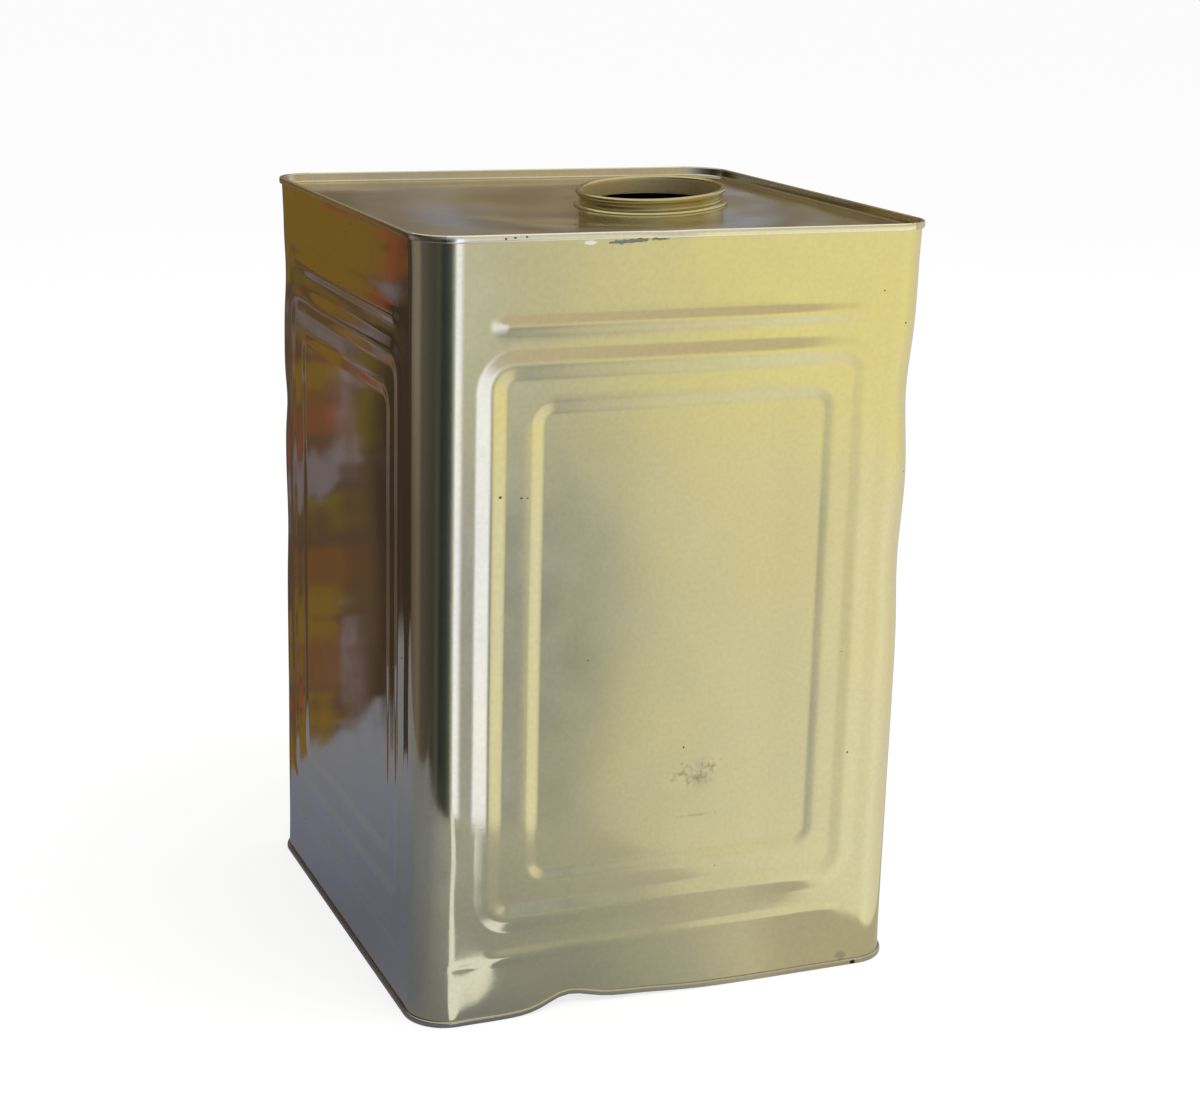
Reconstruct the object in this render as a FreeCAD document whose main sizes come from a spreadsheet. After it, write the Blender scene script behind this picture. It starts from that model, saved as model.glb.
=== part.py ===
"""Honey tin: an open, empty square tin of pale gold tinplate that holds 18 litres.

Millimetres, +Z up.  The origin is the middle of the footprint, at the height the
tin stands on, and the front of the tin faces -Y.  Four pieces make the tin:

  tin_body    the square tube of sheet, with pressed beads and panels on its four sides
  top_end     the square lid, seamed on, sunk below its rim and sagging to the middle
  bottom_end  the same kind of lid seamed on below, flat
  neck_ring   the round rolled mouth that stands on the sloping lid
"""
import FreeCAD, Part
import math
import os

import Sketcher

SIZES = [
    # the whole tin
    ("seam_width", 238.0, "width and depth over the seams"),
    ("tin_height", 349.0, "height over both seams"),
    ("sheet", 0.3, "thickness of the tinplate"),
    ("body_corner", 18.0, "radius of the upright corners, outside"),
    # double seams
    ("seam_proud", 1.2, "how far a seam stands out from the side"),
    ("seam_cover", 1.0, "metal of the seam beyond the edge of the side"),
    ("seam_round", 0.7, "rounding of a seam's outer edges"),
    ("top_seam_depth", 3.2, "height of the top seam's outer leg"),
    ("bottom_seam_depth", 2.8, "height of the bottom seam's outer leg"),
    ("panel_depth", 4.5, "how far each lid lies inside its rim"),
    # sag of the top lid, and the mouth that stands on the slope
    ("sag", 4.1, "how far the middle of the top lid hangs down"),
    ("sag_margin", 9.2, "level strip between the rim's wall and the sag"),
    ("mouth_x", 42.0, "centre of the mouth, to the right"),
    ("mouth_y", 22.0, "centre of the mouth, to the back"),
    ("mouth_bore", 66.6, "inner diameter of the mouth"),
    ("neck_height", 8.4, "height of the neck above the lid"),
    ("neck_sheet", 0.9, "rolled wall of the neck"),
    ("lip_roll", 2.6, "thickness of the rolled lip"),
    ("foot_width", 3.7, "thickness of the bead at the foot of the neck"),
    ("foot_height", 2.6, "height of that bead above the lid"),
    # pressed outer frame, a ridge round each side
    ("frame_side_gap", 25.0, "from the seams' outside to the ridge"),
    ("frame_top_gap", 47.0, "from the tin's top to the ridge"),
    ("frame_bottom_gap", 41.0, "from the tin's bottom to the ridge"),
    ("frame_corner", 18.0, "corner radius of its outer edge"),
    ("ridge_flank", 6.4, "width of each sloping flank"),
    ("ridge_crest", 0.8, "width of the flat crest"),
    ("ridge_rise", 0.8, "how far the ridge stands out"),
    # pressed inner panel, sunk into each side
    ("panel_side_gap", 23.0, "from the ridge's outer edge to the panel, at the sides"),
    ("panel_end_gap", 22.5, "the same above and below"),
    ("panel_shift", 1.6, "its middle, to the right of the side's middle"),
    ("panel_corner", 10.5, "corner radius of its outer edge"),
    ("panel_flank", 5.7, "width of its sloping edge"),
    ("panel_sink", 0.7, "how far it is sunk"),
    # short level beads above and below the frame
    ("bead_side_gap", 30.5, "from the seams' outside to a bead's end"),
    ("bead_top_gap", 37.8, "from the tin's top to the upper bead's middle"),
    ("bead_bottom_gap", 29.6, "from the tin's bottom to the lower bead's middle"),
    ("bead_width", 9.5, "over its flanks"),
    ("bead_crest", 1.0, "width of its crest"),
    ("bead_rise", 0.6, "how far it stands out"),
]

doc = FreeCAD.newDocument("honey_tin")
sheet = doc.addObject("Spreadsheet::Sheet", "sizes")
for row, (alias, value, meaning) in enumerate(SIZES, start=1):
    sheet.set(f"A{row}", alias)
    sheet.set(f"B{row}", str(value))
    sheet.set(f"C{row}", meaning)
    sheet.setAlias(f"B{row}", alias)
doc.recompute()


# ---------------------------------------------------------------- sizes worked out
BODY_WIDTH = "(sizes.seam_width - 2 * sizes.seam_proud)"
INNER_WIDTH = f"({BODY_WIDTH} - 2 * sizes.sheet)"          # inside the tube
PAN_WIDTH = f"({BODY_WIDTH} - 4 * sizes.sheet)"            # inside a lid's upright wall
BODY_CORNER = "sizes.body_corner"
SEAM_CORNER = "(sizes.body_corner + sizes.seam_proud)"
INNER_CORNER = "(sizes.body_corner - sizes.sheet)"
PAN_CORNER = "(sizes.body_corner - 2 * sizes.sheet)"
SAG_RADIUS = f"({PAN_WIDTH} / 2 - sizes.sag_margin)"
# Two equal arcs make the sag's outline, level in the middle and at the edge.
SAG_ARC = f"(({SAG_RADIUS} ^ 2 + sizes.sag ^ 2) / (4 * sizes.sag))"
MOUTH_OFFSET = "sqrt(sizes.mouth_x ^ 2 + sizes.mouth_y ^ 2)"
MOUTH_TILT = f"asin({MOUTH_OFFSET} / {SAG_ARC})"           # the slope of the lid there
MOUTH_DROP = f"({SAG_ARC} - sqrt({SAG_ARC} ^ 2 - {MOUTH_OFFSET} ^ 2))"
MOUTH_FOOT = f"(-sizes.panel_depth - sizes.sag + {MOUTH_DROP})"
FRAME_WIDTH = "(sizes.seam_width - 2 * sizes.frame_side_gap)"
FRAME_HEIGHT = "(sizes.tin_height - sizes.frame_top_gap - sizes.frame_bottom_gap)"
FRAME_MIDDLE = "((sizes.tin_height - sizes.frame_top_gap + sizes.frame_bottom_gap) / 2)"
PANEL_WIDTH = f"({FRAME_WIDTH} - 2 * sizes.panel_side_gap)"
PANEL_HEIGHT = f"({FRAME_HEIGHT} - 2 * sizes.panel_end_gap)"
BEAD_LENGTH = "(sizes.seam_width - 2 * sizes.bead_side_gap)"
TOP_BEAD = "(sizes.tin_height - sizes.bead_top_gap)"


def number(expression):
    """The value of an expression on the sheet."""
    result = sheet.evalExpression(expression)
    return float(getattr(result, "Value", result))


# ---------------------------------------------------------------- shared drawing steps
def new_body(name):
    body = doc.addObject("PartDesign::Body", name)
    body.Label = name
    return body


def origin_part(body, role):
    """A plane or axis of the body's own origin."""
    return next(item for item in body.Origin.OriginFeatures if item.Role == role)


def new_sketch(body, name, plane="XY_Plane", x="0", y="0", out="0"):
    """A sketch on one of the body's planes, moved along it by x and y and out of it by out."""
    sketch = body.newObject("Sketcher::SketchObject", name)
    sketch.AttachmentSupport = [(origin_part(body, plane), "")]
    sketch.MapMode = "FlatFace"
    sketch.setExpression("AttachmentOffset.Base.x", x)
    sketch.setExpression("AttachmentOffset.Base.y", y)
    sketch.setExpression("AttachmentOffset.Base.z", out)
    return sketch


def bind(sketch, kind, *where, to):
    """Add a measured constraint and tie it to an expression."""
    index = sketch.addConstraint(Sketcher.Constraint(kind, *where, number(to)))
    sketch.setExpression(f"Constraints[{index}]", to)


def join(sketch, kind, *where):
    sketch.addConstraint(Sketcher.Constraint(kind, *where))


def rounded_rectangle(sketch, width, height, corner):
    """A rectangle with round corners about the sketch's origin."""
    half_w, half_h, r = number(width) / 2, number(height) / 2, number(corner)
    up = FreeCAD.Vector(0, 0, 1)
    first = sketch.GeometryCount
    corners = [(1, 1), (-1, 1), (-1, -1), (1, -1)]
    for turn, (side_x, side_y) in enumerate(corners):
        centre = FreeCAD.Vector(side_x * (half_w - r), side_y * (half_h - r), 0)
        start = turn * math.pi / 2
        sketch.addGeometry(Part.ArcOfCircle(Part.Circle(centre, up, r), start, start + math.pi / 2))
    ends = [
        ((half_w - r, half_h), (-half_w + r, half_h)),
        ((-half_w, half_h - r), (-half_w, -half_h + r)),
        ((-half_w + r, -half_h), (half_w - r, -half_h)),
        ((half_w, -half_h + r), (half_w, half_h - r)),
    ]
    for (x0, y0), (x1, y1) in ends:
        sketch.addGeometry(Part.LineSegment(FreeCAD.Vector(x0, y0, 0), FreeCAD.Vector(x1, y1, 0)))
    arcs = [first + i for i in range(4)]
    lines = [first + 4 + i for i in range(4)]
    for i in range(4):
        join(sketch, "Tangent", arcs[i], 2, lines[i], 1)
        join(sketch, "Tangent", lines[i], 2, arcs[(i + 1) % 4], 1)
    join(sketch, "Horizontal", lines[0])
    join(sketch, "Vertical", lines[1])
    join(sketch, "Horizontal", lines[2])
    join(sketch, "Vertical", lines[3])
    for i in (1, 2):
        join(sketch, "Equal", arcs[0], arcs[i])
    join(sketch, "Symmetric", lines[0], 1, lines[2], 1, -1, 1)
    bind(sketch, "Radius", arcs[0], to=corner)
    bind(sketch, "DistanceX", lines[1], 1, lines[3], 1, to=width)
    bind(sketch, "DistanceY", lines[2], 1, lines[0], 1, to=height)


def long_slot(sketch, length, width):
    """A level slot with round ends about the sketch's origin."""
    r = number(width) / 2
    reach = number(length) / 2 - r
    up = FreeCAD.Vector(0, 0, 1)
    right = sketch.addGeometry(Part.ArcOfCircle(
        Part.Circle(FreeCAD.Vector(reach, 0, 0), up, r), -math.pi / 2, math.pi / 2))
    left = sketch.addGeometry(Part.ArcOfCircle(
        Part.Circle(FreeCAD.Vector(-reach, 0, 0), up, r), math.pi / 2, 3 * math.pi / 2))
    upper = sketch.addGeometry(Part.LineSegment(
        FreeCAD.Vector(reach, r, 0), FreeCAD.Vector(-reach, r, 0)))
    lower = sketch.addGeometry(Part.LineSegment(
        FreeCAD.Vector(-reach, -r, 0), FreeCAD.Vector(reach, -r, 0)))
    join(sketch, "Tangent", right, 2, upper, 1)
    join(sketch, "Tangent", upper, 2, left, 1)
    join(sketch, "Tangent", left, 2, lower, 1)
    join(sketch, "Tangent", lower, 2, right, 1)
    join(sketch, "Horizontal", upper)
    join(sketch, "Symmetric", left, 3, right, 3, -1, 1)
    bind(sketch, "Radius", right, to=f"{width} / 2")
    bind(sketch, "DistanceX", left, 3, right, 3, to=f"{length} - {width}")


def polyline(sketch, points):
    """A closed outline of straight lines, each corner held where its expressions put it."""
    spots = [FreeCAD.Vector(number(x), number(y), 0) for x, y in points]
    first = sketch.GeometryCount
    count = len(spots)
    for i in range(count):
        sketch.addGeometry(Part.LineSegment(spots[i], spots[(i + 1) % count]))
    for i in range(count):
        join(sketch, "Coincident", first + i, 2, first + (i + 1) % count, 1)
        pin(sketch, first + i, 1, *points[i])


def pin(sketch, curve, end, x, y):
    """Hold a point of the sketch at two expressions."""
    for kind, axis_curve, value in (("DistanceX", -1, x), ("DistanceY", -1, y)):
        if number(value) == 0 and value == "0":
            join(sketch, "PointOnObject", curve, end, -2 if kind == "DistanceX" else -1)
        else:
            bind(sketch, kind, axis_curve, 1, curve, end, to=value)


def sag_curve(sketch, level):
    """The lid's sagging outline, from the middle to the edge, whose edge is at a level.

    Gives the numbers of its two arcs: the first holds the middle, the second the edge.
    """
    radius, sag, arc = number(SAG_RADIUS), number("sizes.sag"), number(SAG_ARC)
    edge_level = number(level)
    spread = math.asin(radius / 2 / arc)
    up = FreeCAD.Vector(0, 0, 1)
    inner = sketch.addGeometry(Part.ArcOfCircle(
        Part.Circle(FreeCAD.Vector(0, edge_level - sag + arc, 0), up, arc),
        -math.pi / 2, -math.pi / 2 + spread))
    outer = sketch.addGeometry(Part.ArcOfCircle(
        Part.Circle(FreeCAD.Vector(radius, edge_level - arc, 0), up, arc),
        math.pi / 2, math.pi / 2 + spread))
    pin(sketch, inner, 3, "0", f"{level} - sizes.sag + {SAG_ARC}")
    pin(sketch, inner, 1, "0", f"{level} - sizes.sag")
    pin(sketch, outer, 1, SAG_RADIUS, level)
    join(sketch, "Tangent", inner, 2, outer, 2)
    bind(sketch, "DistanceX", -1, 1, outer, 3, to=SAG_RADIUS)
    return inner, outer


def pad(body, name, sketch, length, down=False):
    feature = body.newObject("PartDesign::Pad", name)
    feature.Profile = sketch
    feature.Reversed = down
    feature.setExpression("Length", length)
    return feature


def pocket(body, name, sketch, length, up=False):
    """Cut below the sketch, or above it."""
    feature = body.newObject("PartDesign::Pocket", name)
    feature.Profile = sketch
    feature.Reversed = up
    feature.setExpression("Length", length)
    return feature


def loft(body, name, kind, near, far):
    """A sloping-sided raised or sunk area between two outlines."""
    feature = body.newObject(f"PartDesign::{kind}Loft", name)
    feature.Profile = near
    feature.Sections = [(far, [""])]
    feature.Ruled = True
    return feature


def tip_volume(body):
    doc.recompute()
    return body.Shape.Volume


# ---------------------------------------------------------------- the square tube
def side_form(name, inset):
    """A solid block with the shape of the tube's four pressed sides, inset by so much."""
    body = new_body(name)
    width = f"({BODY_WIDTH} - 2 * {inset})"
    face = f"({width} / 2)"
    height = "(sizes.tin_height - 2 * sizes.seam_cover)"
    plan = new_sketch(body, f"{name}_plan", out="sizes.seam_cover")
    rounded_rectangle(plan, width, width, f"(sizes.body_corner - {inset})")
    pad(body, f"{name}_block", plan, height)

    pressed = []

    def face_sketch(part, middle_x, middle_z, out):
        return new_sketch(body, f"{name}_{part}", "XZ_Plane", middle_x, middle_z, f"{face} + {out}")

    def raised_slot(part, middle):
        base = face_sketch(f"{part}_base", "0", middle, "0")
        long_slot(base, BEAD_LENGTH, "sizes.bead_width")
        crest = face_sketch(f"{part}_crest", "0", middle, "sizes.bead_rise")
        trim = "(sizes.bead_width - sizes.bead_crest)"
        long_slot(crest, f"({BEAD_LENGTH} - {trim})", "sizes.bead_crest")
        pressed.append(loft(body, f"{name}_{part}", "Additive", base, crest))

    def framed(part, kind, middle_x, near, far):
        """near and far each give a trim off the frame or panel and a place out of the side."""
        sketches = []
        for end, (wide, tall, corner, trim, out) in (("near", near), ("far", far)):
            sketch = face_sketch(f"{part}_{end}", middle_x, FRAME_MIDDLE, out)
            rounded_rectangle(sketch, f"({wide} - 2 * {trim})", f"({tall} - 2 * {trim})",
                              f"({corner} - {trim})")
            sketches.append(sketch)
        pressed.append(loft(body, f"{name}_{part}", kind, *sketches))

    frame = (FRAME_WIDTH, FRAME_HEIGHT, "sizes.frame_corner")
    panel = (PANEL_WIDTH, PANEL_HEIGHT, "sizes.panel_corner")
    crest_end = "(sizes.ridge_flank + sizes.ridge_crest)"
    ridge_end = "(2 * sizes.ridge_flank + sizes.ridge_crest)"
    raised_slot("top_bead", TOP_BEAD)
    raised_slot("bottom_bead", "sizes.bead_bottom_gap")
    framed("frame", "Additive", "0", (*frame, "0", "0"), (*frame, "sizes.ridge_flank", "sizes.ridge_rise"))
    framed("frame_hollow", "Subtractive", "0",
           (*frame, crest_end, "sizes.ridge_rise"), (*frame, ridge_end, "0"))
    framed("panel", "Subtractive", "sizes.panel_shift",
           (*panel, "0", "0"), (*panel, "sizes.panel_flank", "-sizes.panel_sink"))

    four = body.newObject("PartDesign::PolarPattern", f"{name}_four_sides")
    four.Originals = pressed
    four.Axis = (origin_part(body, "Z_Axis"), [""])
    four.Angle = 360
    four.Occurrences = 4
    body.Tip = four
    return body


def tin_body():
    """The tube is the outer form less the same form set in by the sheet."""
    tube = doc.addObject("Part::Cut", "tin_body")
    tube.Label = "tin_body"
    tube.Base = side_form("outer_form", "0")
    tube.Tool = side_form("inner_form", "sizes.sheet")
    return tube


# ---------------------------------------------------------------- the two lids
def lid(name, seam_depth, sagging):
    """A lid seen from outside: its rim's outermost level is 0 and the lid lies below it."""
    body = new_body(name)
    rim = new_sketch(body, f"{name}_rim_plan", out=f"-{seam_depth}")
    rounded_rectangle(rim, "sizes.seam_width", "sizes.seam_width", SEAM_CORNER)
    rounded_rectangle(rim, PAN_WIDTH, PAN_WIDTH, PAN_CORNER)
    pad(body, f"{name}_rim", rim, seam_depth)

    wall_height = "(sizes.panel_depth + sizes.sheet)"
    wall = new_sketch(body, f"{name}_wall_plan", out=f"-{wall_height}")
    rounded_rectangle(wall, INNER_WIDTH, INNER_WIDTH, INNER_CORNER)
    rounded_rectangle(wall, PAN_WIDTH, PAN_WIDTH, PAN_CORNER)
    pad(body, f"{name}_wall", wall, f"({wall_height} - {seam_depth})")

    floor = new_sketch(body, f"{name}_floor_plan", out=f"-{wall_height}")
    rounded_rectangle(floor, INNER_WIDTH, INNER_WIDTH, INNER_CORNER)
    if sagging:
        hole = floor.addGeometry(Part.Circle(
            FreeCAD.Vector(0, 0, 0), FreeCAD.Vector(0, 0, 1), number(SAG_RADIUS)))
        join(floor, "Coincident", hole, 3, -1, 1)
        bind(floor, "Radius", hole, to=SAG_RADIUS)
    pad(body, f"{name}_floor", floor, "sizes.sheet")
    if sagging:
        sagging_middle(body, name)

    groove = new_sketch(body, f"{name}_groove_plan", out=f"-{seam_depth}")
    rounded_rectangle(groove, BODY_WIDTH, BODY_WIDTH, BODY_CORNER)
    rounded_rectangle(groove, INNER_WIDTH, INNER_WIDTH, INNER_CORNER)
    before = tip_volume(body)
    pocket(body, f"{name}_groove", groove, f"({seam_depth} - sizes.seam_cover)", up=True)
    if not tip_volume(body) < before:
        raise RuntimeError(f"{name}: the groove for the tube's edge cut nothing")
    if sagging:
        mouth_hole(body, name)
    round_rim(body, name, seam_depth)
    return body


def sagging_middle(body, name):
    """A thin sheet turned about the lid's middle, in two arcs above and two below."""
    sketch = new_sketch(body, f"{name}_sag_outline", "XZ_Plane")
    top_inner, top_outer = sag_curve(sketch, "-sizes.panel_depth")
    low_inner, low_outer = sag_curve(sketch, "-(sizes.panel_depth + sizes.sheet)")
    for upper, lower in ((top_inner, low_inner), (top_outer, low_outer)):
        ends = [sketch.getPoint(upper, 1), sketch.getPoint(lower, 1)]
        line = sketch.addGeometry(Part.LineSegment(*ends))
        join(sketch, "Coincident", line, 1, upper, 1)
        join(sketch, "Coincident", line, 2, lower, 1)
    turned = body.newObject("PartDesign::Revolution", f"{name}_sag")
    turned.Profile = sketch
    turned.ReferenceAxis = (sketch, ["V_Axis"])
    turned.Angle = 360


def tilt_to_lid(sketch):
    """Move a sketch of the XZ plane to the mouth and lean it with the lid's slope."""
    sketch.setExpression("AttachmentOffset.Base.x", "sizes.mouth_x")
    sketch.setExpression("AttachmentOffset.Base.y", MOUTH_FOOT)
    sketch.setExpression("AttachmentOffset.Base.z", "-sizes.mouth_y")
    offset = sketch.AttachmentOffset
    axis = FreeCAD.Vector(number("sizes.mouth_y"), 0, number("sizes.mouth_x"))
    offset.Rotation = FreeCAD.Rotation(axis, number(MOUTH_TILT))
    sketch.AttachmentOffset = offset


def mouth_hole(body, name):
    """A round hole of the mouth's bore, square to the slope it stands on."""
    sketch = new_sketch(body, f"{name}_mouth_outline", "XZ_Plane")
    tilt_to_lid(sketch)
    reach = "(2 * sizes.neck_height)"
    polyline(sketch, [("0", f"-{reach}"), ("sizes.mouth_bore / 2", f"-{reach}"),
                      ("sizes.mouth_bore / 2", reach), ("0", reach)])
    before = tip_volume(body)
    hole = body.newObject("PartDesign::Groove", f"{name}_mouth")
    hole.Profile = sketch
    hole.ReferenceAxis = (sketch, ["V_Axis"])
    hole.Angle = 360
    if not tip_volume(body) < before:
        raise RuntimeError("the mouth's hole cut nothing")


def round_rim(body, name, seam_depth):
    """Round the rim's outer top edge and inner top edge, and the free edge below."""
    doc.recompute()
    half, inner = number("sizes.seam_width") / 2, number(PAN_WIDTH) / 2
    drop = number(seam_depth)
    edges = []
    for index, edge in enumerate(body.Shape.Edges, start=1):
        box = edge.BoundBox
        level = abs(box.ZMax - box.ZMin) < 1e-4
        reach = max(abs(box.XMin), abs(box.XMax), abs(box.YMin), abs(box.YMax))
        local = box.ZMin - body.Placement.Base.z
        on_top = abs(local) < 1e-4 and (abs(reach - half) < 1e-3 or abs(reach - inner) < 1e-3)
        below = abs(local + drop) < 1e-4 and abs(reach - half) < 1e-3
        if level and (on_top or below):
            edges.append(f"Edge{index}")
    finished = body.Tip
    fillet = body.newObject("PartDesign::Fillet", f"{name}_rounding")
    fillet.Base = (finished, edges)
    fillet.setExpression("Radius", "sizes.seam_round")


# ---------------------------------------------------------------- the mouth
def neck_ring():
    """A rolled ring: a bead at its foot, a thin wall, and a lip rolled outwards."""
    body = new_body("neck_ring")
    sketch = new_sketch(body, "neck_ring_outline", "XZ_Plane")
    tilt_to_lid(sketch)
    bore = "(sizes.mouth_bore / 2)"
    wall = f"({bore} + sizes.neck_sheet)"
    lip = "(sizes.lip_roll / 2)"
    foot = "(sizes.foot_height / 2)"
    low = "-sizes.foot_height"
    lip_level = f"(sizes.neck_height - {lip})"
    polyline(sketch, [
        (bore, low),
        (f"{bore} + sizes.foot_width", low),
        (f"{bore} + sizes.foot_width", "0.6 * sizes.foot_height"),
        (f"{bore} + 0.7 * sizes.foot_width", "sizes.foot_height"),
        (wall, "sizes.foot_height"),
        (wall, f"({lip_level} - {lip})"),
        (f"{bore} + 0.8 * sizes.lip_roll", f"({lip_level} - {lip})"),
        (f"{bore} + sizes.lip_roll", f"({lip_level} - {foot} / 4)"),
        (f"{bore} + sizes.lip_roll", lip_level),
        (f"{bore} + 0.8 * sizes.lip_roll", "sizes.neck_height"),
        (f"{bore} + 0.2 * sizes.lip_roll", "sizes.neck_height"),
        (bore, lip_level),
    ])
    ring = body.newObject("PartDesign::Revolution", "neck_ring_turned")
    ring.Profile = sketch
    ring.ReferenceAxis = (sketch, ["V_Axis"])
    ring.Angle = 360

    # The foot is cut to the lid, so that it stands on the sag all the way round.
    below = new_sketch(body, "neck_ring_seat", "XZ_Plane")
    inner, outer = sag_curve(below, "-sizes.panel_depth")
    bottom = "-(sizes.panel_depth + sizes.sag + 4 * sizes.foot_height)"
    corners = [below.getPoint(outer, 1),
               FreeCAD.Vector(number(SAG_RADIUS), number(bottom), 0),
               FreeCAD.Vector(0, number(bottom), 0),
               below.getPoint(inner, 1)]
    lines = [below.addGeometry(Part.LineSegment(a, b)) for a, b in zip(corners, corners[1:])]
    join(below, "Coincident", outer, 1, lines[0], 1)
    join(below, "Coincident", lines[0], 2, lines[1], 1)
    join(below, "Coincident", lines[1], 2, lines[2], 1)
    join(below, "Coincident", lines[2], 2, inner, 1)
    join(below, "Vertical", lines[0])
    join(below, "Horizontal", lines[1])
    join(below, "PointOnObject", lines[1], 2, -2)
    bind(below, "DistanceY", -1, 1, lines[1], 1, to=bottom)
    before = tip_volume(body)
    seat = body.newObject("PartDesign::Groove", "neck_ring_foot")
    seat.Profile = below
    seat.ReferenceAxis = (below, ["V_Axis"])
    seat.Angle = 360
    if not tip_volume(body) < before:
        raise RuntimeError("the neck's foot was not cut to the lid")
    return body


# ---------------------------------------------------------------- build and write
def main():
    pieces = [tin_body()]
    top = lid("top_end", "sizes.top_seam_depth", sagging=True)
    top.setExpression("Placement.Base.z", "sizes.tin_height")
    bottom = lid("bottom_end", "sizes.bottom_seam_depth", sagging=False)
    bottom.Placement = FreeCAD.Placement(
        FreeCAD.Vector(0, 0, 0), FreeCAD.Rotation(FreeCAD.Vector(1, 0, 0), 180))
    neck = neck_ring()
    neck.setExpression("Placement.Base.z", "sizes.tin_height")
    pieces += [top, bottom, neck]
    doc.recompute()

    for item in doc.Objects:
        if "Invalid" in item.State or "Error" in item.State:
            raise RuntimeError(f"{item.Name} failed: {item.State}")
    for piece in pieces:
        shape = piece.Shape
        if shape.isNull() or not shape.isValid() or len(shape.Solids) != 1:
            raise RuntimeError(f"{piece.Label} is not one sound solid")

    os.makedirs("parts", exist_ok=True)
    for piece in pieces:
        piece.Shape.exportStep(os.path.join("parts", f"{piece.Label}.step"))
        print(f"{piece.Label}: {piece.Shape.Volume:.1f} mm3", piece.Shape.BoundBox)


main()
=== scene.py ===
import math

import bpy
from mathutils import Matrix, Vector, noise


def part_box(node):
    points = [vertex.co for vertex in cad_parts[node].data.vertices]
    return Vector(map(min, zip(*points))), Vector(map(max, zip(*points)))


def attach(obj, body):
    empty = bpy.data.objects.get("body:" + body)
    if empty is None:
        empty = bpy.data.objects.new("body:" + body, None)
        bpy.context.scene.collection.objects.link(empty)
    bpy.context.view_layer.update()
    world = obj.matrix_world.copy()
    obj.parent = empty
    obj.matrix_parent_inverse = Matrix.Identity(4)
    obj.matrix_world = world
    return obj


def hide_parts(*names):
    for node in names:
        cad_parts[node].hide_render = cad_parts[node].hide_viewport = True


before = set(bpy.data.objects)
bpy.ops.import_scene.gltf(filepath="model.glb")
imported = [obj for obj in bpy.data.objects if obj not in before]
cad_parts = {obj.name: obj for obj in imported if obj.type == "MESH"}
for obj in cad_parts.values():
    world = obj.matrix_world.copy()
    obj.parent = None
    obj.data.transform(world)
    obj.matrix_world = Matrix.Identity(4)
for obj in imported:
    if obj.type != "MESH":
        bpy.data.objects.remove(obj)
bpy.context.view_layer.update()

mm = 0.001


# ---------------------------------------------------------------- the viewpoint
# The tin is seen from the front, a little from its left and from above, through a long lens
# about a metre away.
view = bpy.data.cameras.new("view")
view.sensor_width = 36
view.lens = 68.9
view.shift_x = 0.0046
view.shift_y = 0.0190
view.clip_end = 50
camera = bpy.data.objects.new("camera", view)
bpy.context.collection.objects.link(camera)
aside, down, rolled = 22.39, 15.72, 1.47     # degrees: to the tin's left, downwards, round the view
camera.matrix_world = (
    Matrix.Translation((-0.3996, -0.9912, 0.4709))
    @ Matrix.Rotation(math.radians(-aside), 4, "Z")
    @ Matrix.Rotation(math.radians(90 - down), 4, "X")
    @ Matrix.Rotation(math.radians(rolled), 4, "Z")
)
bpy.context.scene.camera = camera
bpy.context.scene.view_settings.view_transform = "Standard"


# ---------------------------------------------------------------- tin body
# The tube is one sheet of gold-lacquered tinplate, 0.3 mm thick, bent square and soldered.
# Each side has a ridge frame, a sunk panel and two level beads pressed into it; its ends
# are gripped by the seams of the lids.  Use has dented it near the floor and at its corners.
lid_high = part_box("top_end")[1]
tin_top = lid_high.z
seam_half = lid_high.x                       # half the width over the seams
seam_proud = 1.2 * mm
side_half = seam_half - seam_proud           # half the width over the flat sides
corner = 18 * mm
corner_middle = side_half - corner
sheet = 0.3 * mm
top_seam, bottom_seam = 3.2 * mm, 2.8 * mm   # heights of the seams' outer legs

frame_half = seam_half - 25 * mm
frame_low, frame_high = 41 * mm, tin_top - 47 * mm
frame_corner = 18 * mm
ridge_flank, ridge_crest, ridge_rise = 6.4 * mm, 0.8 * mm, 0.8 * mm
panel_half = frame_half - 23 * mm
panel_low, panel_high = frame_low + 22.5 * mm, frame_high - 22.5 * mm
panel_shift, panel_corner = 1.6 * mm, 10.5 * mm
panel_flank, panel_sink = 5.7 * mm, 0.7 * mm
bead_half = seam_half - 30.5 * mm
bead_levels = (29.6 * mm, tin_top - 37.8 * mm)
bead_width, bead_crest, bead_rise, bead_end = 9.5 * mm, 1.0 * mm, 0.6 * mm, 9 * mm


def ramp(distance, width, ease=0.14):
    """From 0 to 1 across a pressed flank, straight in the middle and eased at its ends."""
    x = min(max(distance / width, 0.0), 1.0)
    if x < ease:
        return x * x / (2 * ease * (1 - ease))
    if x > 1 - ease:
        return 1 - (1 - x) ** 2 / (2 * ease * (1 - ease))
    return (x - ease / 2) / (1 - ease)


def inside_outline(across, up, half_across, half_up, radius):
    """How far a place lies inside a rectangle with round corners."""
    qx = abs(across) - half_across + radius
    qz = abs(up) - half_up + radius
    outside = math.hypot(max(qx, 0), max(qz, 0)) + min(max(qx, qz), 0)
    return radius - outside


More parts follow.
